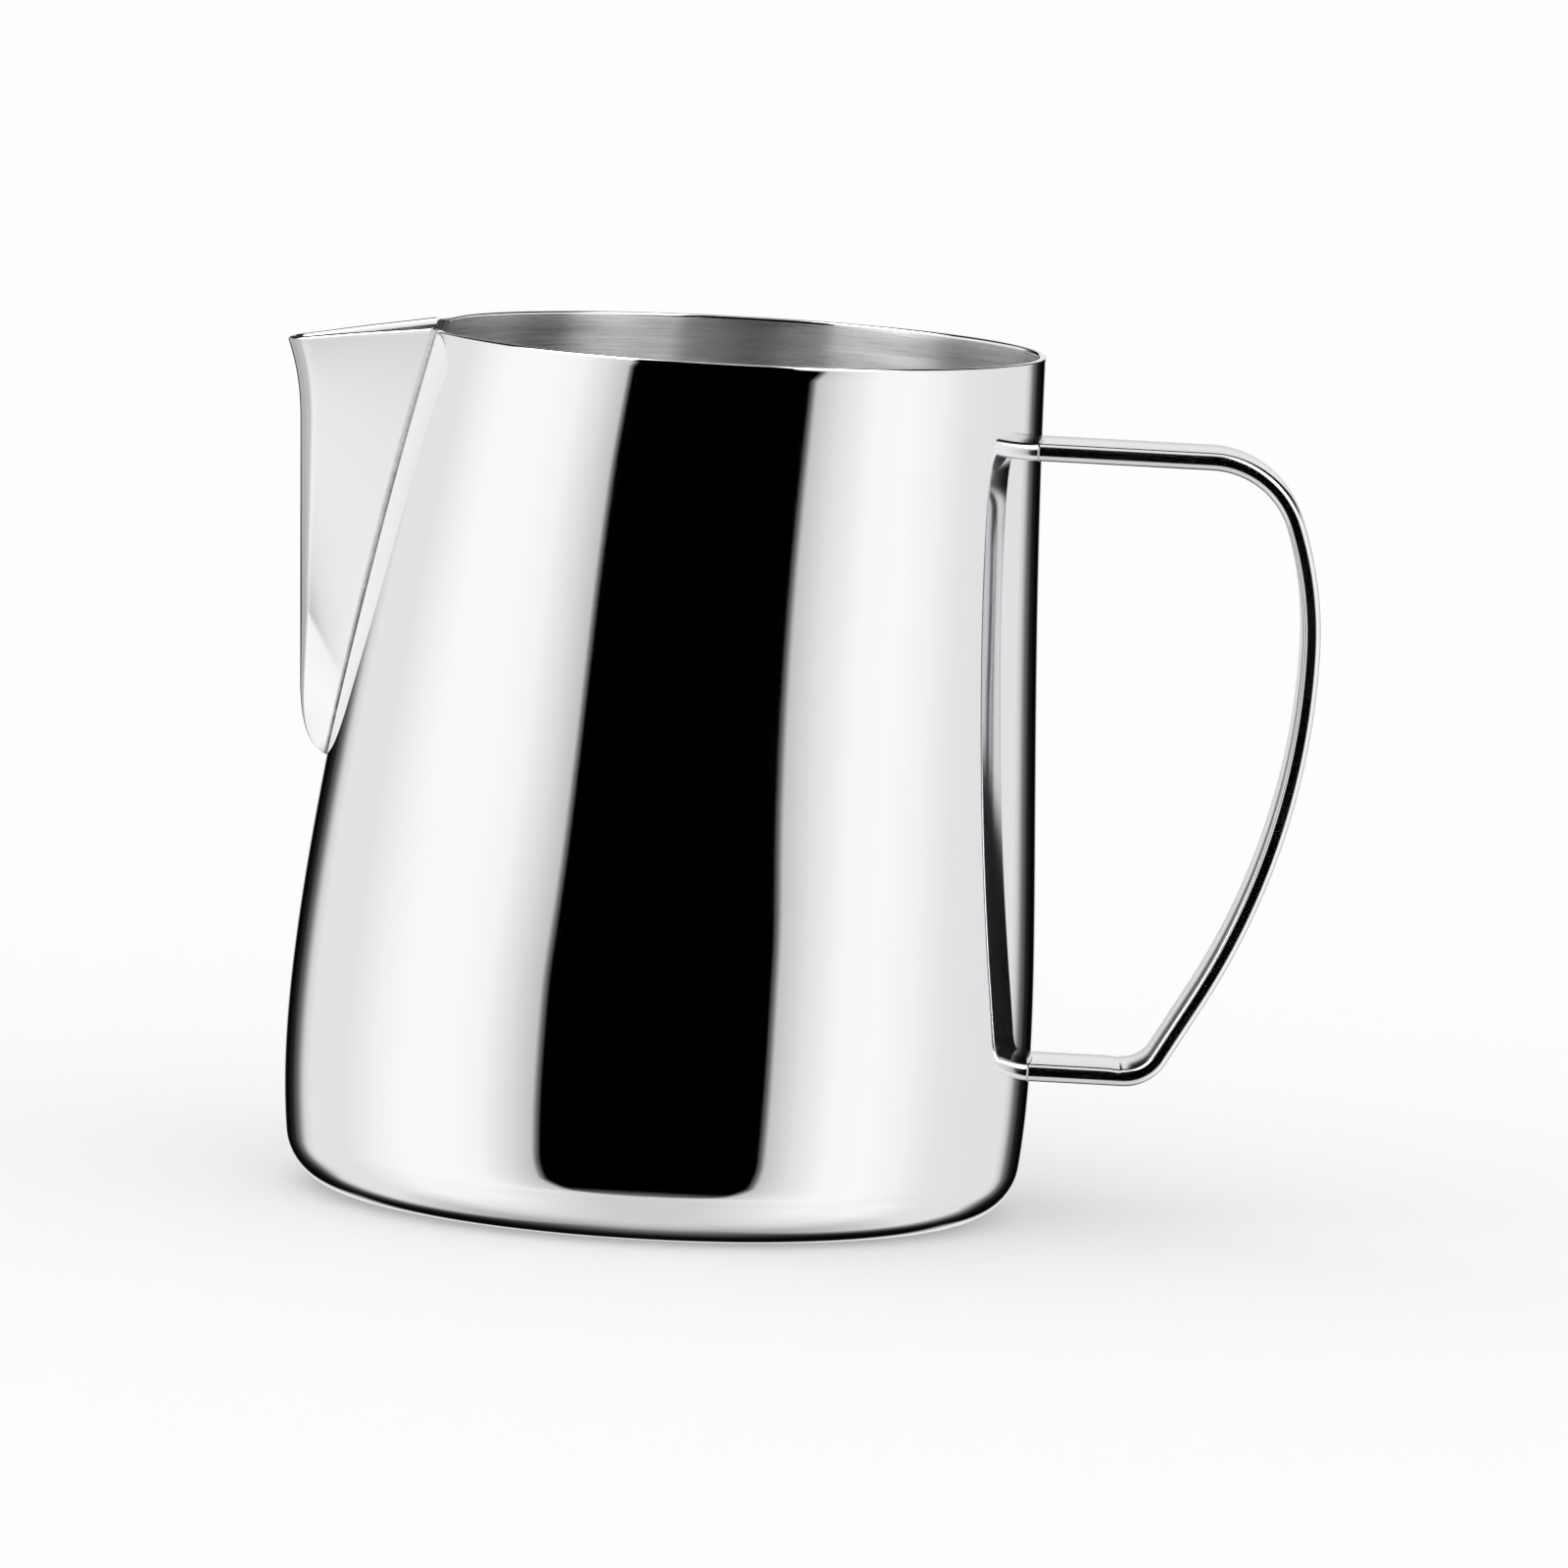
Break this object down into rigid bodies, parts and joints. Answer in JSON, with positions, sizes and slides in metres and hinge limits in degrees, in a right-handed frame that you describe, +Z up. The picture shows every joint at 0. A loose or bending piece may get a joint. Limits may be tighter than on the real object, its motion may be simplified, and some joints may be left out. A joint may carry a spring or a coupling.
{
  "type": "milk frothing pitcher",
  "caption": "Tapered steel milk frothing pitcher with a pressed V spout down the front and a bent flat-bar handle welded to the back.",
  "frame": {"origin": "middle of the whole object's footprint, spout to handle, at the height of the surface it stands on", "axes": "+Z up out of the cup's mouth, +X toward the handle, -X the way the spout points, +Y across the pitcher"},
  "size_m": [0.1302, 0.0932, 0.1081],
  "materials": {
    "polished_steel": "mirror-polished stainless sheet, brushed inside",
    "bar_steel": "polished stainless flat bar with eased edges",
    "weld_steel": "ground and polished weld metal"
  },
  "bodies": {
    "root": {"cup": "polished_steel", "spout": "polished_steel", "spout_seam_weld": "weld_steel", "handle": "bar_steel", "handle_weld_upper": "weld_steel", "handle_weld_lower": "weld_steel"}
  },
  "joints": []
}
